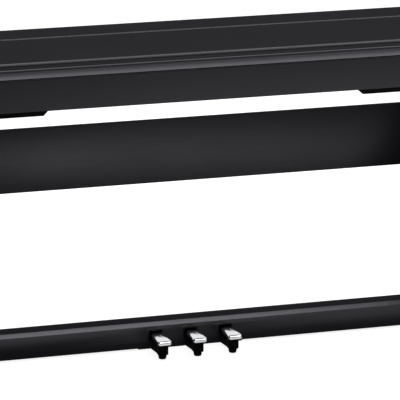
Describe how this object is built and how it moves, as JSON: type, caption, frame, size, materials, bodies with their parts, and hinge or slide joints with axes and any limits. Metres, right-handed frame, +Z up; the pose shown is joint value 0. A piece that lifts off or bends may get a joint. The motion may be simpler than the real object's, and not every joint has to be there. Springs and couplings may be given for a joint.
{
  "type": "digital piano on stand",
  "caption": "Slim black digital piano on a two-leg stand: hinged flat lid with a coved lip, full keyboard, speakers under the case, backboard, and a low rail with bright pedals.",
  "frame": {"origin": "on the floor, below the middle of the object", "axes": "+X towards the treble end (the player's right), +Y towards the back, +Z up"},
  "size_m": [1.36, 0.35, 0.774],
  "materials": {
    "black_board": "satin black foil on board",
    "inner_board": "matt black board",
    "black_plastic": "black moulded plastic",
    "button_grey": "dark grey plastic",
    "red_felt": "red felt",
    "hinge_steel": "blackened steel",
    "frame_steel": "plated steel",
    "driver_black": "black painted steel",
    "circuit_board": "green circuit board",
    "black_rubber": "black rubber",
    "pedal_chrome": "bright plated metal",
    "key_white": "white satin plastic",
    "key_black": "black satin plastic"
  },
  "bodies": {
    "cabinet": {"keybed": "inner_board", "end_board_left": "black_board", "end_board_right": "black_board", "back_panel": "inner_board", "top_board": "black_board", "key_slip": "black_board", "control_panel": "black_plastic", "music_stop": "black_plastic", "key_felt": "red_felt", "cheek_blocks": "black_plastic", "lid_hinge_fixed_leaf": "hinge_steel", "lid_hinge_pin": "hinge_steel", "key_chassis": "frame_steel", "key_pivot_rod": "frame_steel", "speaker_box_left": "black_plastic", "speaker_box_right": "black_plastic", "speaker_drivers": "driver_black", "main_board": "circuit_board", "headphone_box": "black_plastic", "jack_plate": "black_plastic", "side_board_left": "black_board", "side_board_right": "black_board", "stand_feet": "black_board", "rubber_feet": "black_rubber", "backboard": "black_board", "pedal_rail": "black_board", "pedal_box": "black_plastic", "pedal_pivot_pin": "frame_steel", "pedal_springs": "frame_steel", "pedal_supports": "black_plastic", "stand_fixings": "frame_steel"},
    "lid": {"lid_panel": "black_board", "lid_lip": "black_board", "lid_hinge_moving_leaf": "hinge_steel", "lid_buffers": "black_rubber"},
    "power_button": {"power_button": "button_grey"},
    "volume_knob": {"volume_knob": "button_grey"},
    "tone_button": {"tone_button": "button_grey"},
    "metronome_button": {"metronome_button": "button_grey"},
    "function_button": {"function_button": "button_grey"},
    "pedal_left": {"pedal_left": "pedal_chrome", "pedal_lever_left": "black_plastic"},
    "pedal_middle": {"pedal_middle": "pedal_chrome", "pedal_lever_middle": "black_plastic"},
    "pedal_right": {"pedal_right": "pedal_chrome", "pedal_lever_right": "black_plastic"},
    "white_keys": {"white_keys": "key_white"},
    "black_keys": {"black_keys": "key_black"},
    "key_c4": {"key_c4": "key_white"},
    "key_d4": {"key_d4": "key_white"},
    "key_e4": {"key_e4": "key_white"},
    "key_f4": {"key_f4": "key_white"},
    "key_g4": {"key_g4": "key_white"},
    "key_a4": {"key_a4": "key_white"},
    "key_b4": {"key_b4": "key_white"},
    "key_c_sharp4": {"key_c_sharp4": "key_black"},
    "key_d_sharp4": {"key_d_sharp4": "key_black"},
    "key_f_sharp4": {"key_f_sharp4": "key_black"},
    "key_g_sharp4": {"key_g_sharp4": "key_black"},
    "key_a_sharp4": {"key_a_sharp4": "key_black"}
  },
  "joints": [
    {"name": "lid_hinge", "type": "hinge", "parent": "cabinet", "child": "lid", "pos_m": [0, 0.075, 0.771], "axis": [-1, 0, 0], "range_deg": [0, 98]},
    {"name": "power_press", "type": "slide", "parent": "cabinet", "child": "power_button", "axis": [0, 0, -1], "range_m": [0, 0.0015], "stiffness_N_per_m": 400, "springref_m": -0.002},
    {"name": "volume_turn", "type": "hinge", "parent": "cabinet", "child": "volume_knob", "pos_m": [-0.6355, -0.09, 0.7499], "axis": [0, 0, 1], "range_deg": [-140, 140]},
    {"name": "tone_press", "type": "slide", "parent": "cabinet", "child": "tone_button", "axis": [0, 0, -1], "range_m": [0, 0.001], "stiffness_N_per_m": 400, "springref_m": -0.002},
    {"name": "metronome_press", "type": "slide", "parent": "cabinet", "child": "metronome_button", "axis": [0, 0, -1], "range_m": [0, 0.001], "stiffness_N_per_m": 400, "springref_m": -0.002},
    {"name": "function_press", "type": "slide", "parent": "cabinet", "child": "function_button", "axis": [0, 0, -1], "range_m": [0, 0.001], "stiffness_N_per_m": 400, "springref_m": -0.002},
    {"name": "pedal_left_press", "type": "hinge", "parent": "cabinet", "child": "pedal_left", "pos_m": [-0.088, 0.085, 0.026], "axis": [1, 0, 0], "range_deg": [0, 3], "stiffness_Nm_per_rad": 28, "springref_deg": -5.16, "deforming": ["pedal_springs"]},
    {"name": "pedal_middle_press", "type": "hinge", "parent": "cabinet", "child": "pedal_middle", "pos_m": [0, 0.085, 0.026], "axis": [1, 0, 0], "range_deg": [0, 3], "stiffness_Nm_per_rad": 28, "springref_deg": -5.16, "deforming": ["pedal_springs"]},
    {"name": "pedal_right_press", "type": "hinge", "parent": "cabinet", "child": "pedal_right", "pos_m": [0.088, 0.085, 0.026], "axis": [1, 0, 0], "range_deg": [0, 3], "stiffness_Nm_per_rad": 28, "springref_deg": -5.16, "deforming": ["pedal_springs"]},
    {"name": "white_set_press", "type": "hinge", "parent": "cabinet", "child": "white_keys", "pos_m": [0, 0.058, 0.7349], "axis": [1, 0, 0], "range_deg": [0, 2.7], "stiffness_Nm_per_rad": 40, "springref_deg": -11.46},
    {"name": "black_set_press", "type": "hinge", "parent": "cabinet", "child": "black_keys", "pos_m": [0, 0.058, 0.7349], "axis": [1, 0, 0], "range_deg": [0, 2.7], "stiffness_Nm_per_rad": 40, "springref_deg": -11.46},
    {"name": "key_c4_press", "type": "hinge", "parent": "cabinet", "child": "key_c4", "pos_m": [0, 0.058, 0.7349], "axis": [1, 0, 0], "range_deg": [0, 2.7], "stiffness_Nm_per_rad": 1, "springref_deg": -11.46},
    {"name": "key_d4_press", "type": "hinge", "parent": "cabinet", "child": "key_d4", "pos_m": [0, 0.058, 0.7349], "axis": [1, 0, 0], "range_deg": [0, 2.7], "stiffness_Nm_per_rad": 1, "springref_deg": -11.46},
    {"name": "key_e4_press", "type": "hinge", "parent": "cabinet", "child": "key_e4", "pos_m": [0, 0.058, 0.7349], "axis": [1, 0, 0], "range_deg": [0, 2.7], "stiffness_Nm_per_rad": 1, "springref_deg": -11.46},
    {"name": "key_f4_press", "type": "hinge", "parent": "cabinet", "child": "key_f4", "pos_m": [0, 0.058, 0.7349], "axis": [1, 0, 0], "range_deg": [0, 2.7], "stiffness_Nm_per_rad": 1, "springref_deg": -11.46},
    {"name": "key_g4_press", "type": "hinge", "parent": "cabinet", "child": "key_g4", "pos_m": [0, 0.058, 0.7349], "axis": [1, 0, 0], "range_deg": [0, 2.7], "stiffness_Nm_per_rad": 1, "springref_deg": -11.46},
    {"name": "key_a4_press", "type": "hinge", "parent": "cabinet", "child": "key_a4", "pos_m": [0, 0.058, 0.7349], "axis": [1, 0, 0], "range_deg": [0, 2.7], "stiffness_Nm_per_rad": 1, "springref_deg": -11.46},
    {"name": "key_b4_press", "type": "hinge", "parent": "cabinet", "child": "key_b4", "pos_m": [0, 0.058, 0.7349], "axis": [1, 0, 0], "range_deg": [0, 2.7], "stiffness_Nm_per_rad": 1, "springref_deg": -11.46},
    {"name": "key_c_sharp4_press", "type": "hinge", "parent": "cabinet", "child": "key_c_sharp4", "pos_m": [0, 0.058, 0.7349], "axis": [1, 0, 0], "range_deg": [0, 2.7], "stiffness_Nm_per_rad": 1, "springref_deg": -11.46},
    {"name": "key_d_sharp4_press", "type": "hinge", "parent": "cabinet", "child": "key_d_sharp4", "pos_m": [0, 0.058, 0.7349], "axis": [1, 0, 0], "range_deg": [0, 2.7], "stiffness_Nm_per_rad": 1, "springref_deg": -11.46},
    {"name": "key_f_sharp4_press", "type": "hinge", "parent": "cabinet", "child": "key_f_sharp4", "pos_m": [0, 0.058, 0.7349], "axis": [1, 0, 0], "range_deg": [0, 2.7], "stiffness_Nm_per_rad": 1, "springref_deg": -11.46},
    {"name": "key_g_sharp4_press", "type": "hinge", "parent": "cabinet", "child": "key_g_sharp4", "pos_m": [0, 0.058, 0.7349], "axis": [1, 0, 0], "range_deg": [0, 2.7], "stiffness_Nm_per_rad": 1, "springref_deg": -11.46},
    {"name": "key_a_sharp4_press", "type": "hinge", "parent": "cabinet", "child": "key_a_sharp4", "pos_m": [0, 0.058, 0.7349], "axis": [1, 0, 0], "range_deg": [0, 2.7], "stiffness_Nm_per_rad": 1, "springref_deg": -11.46}
  ]
}
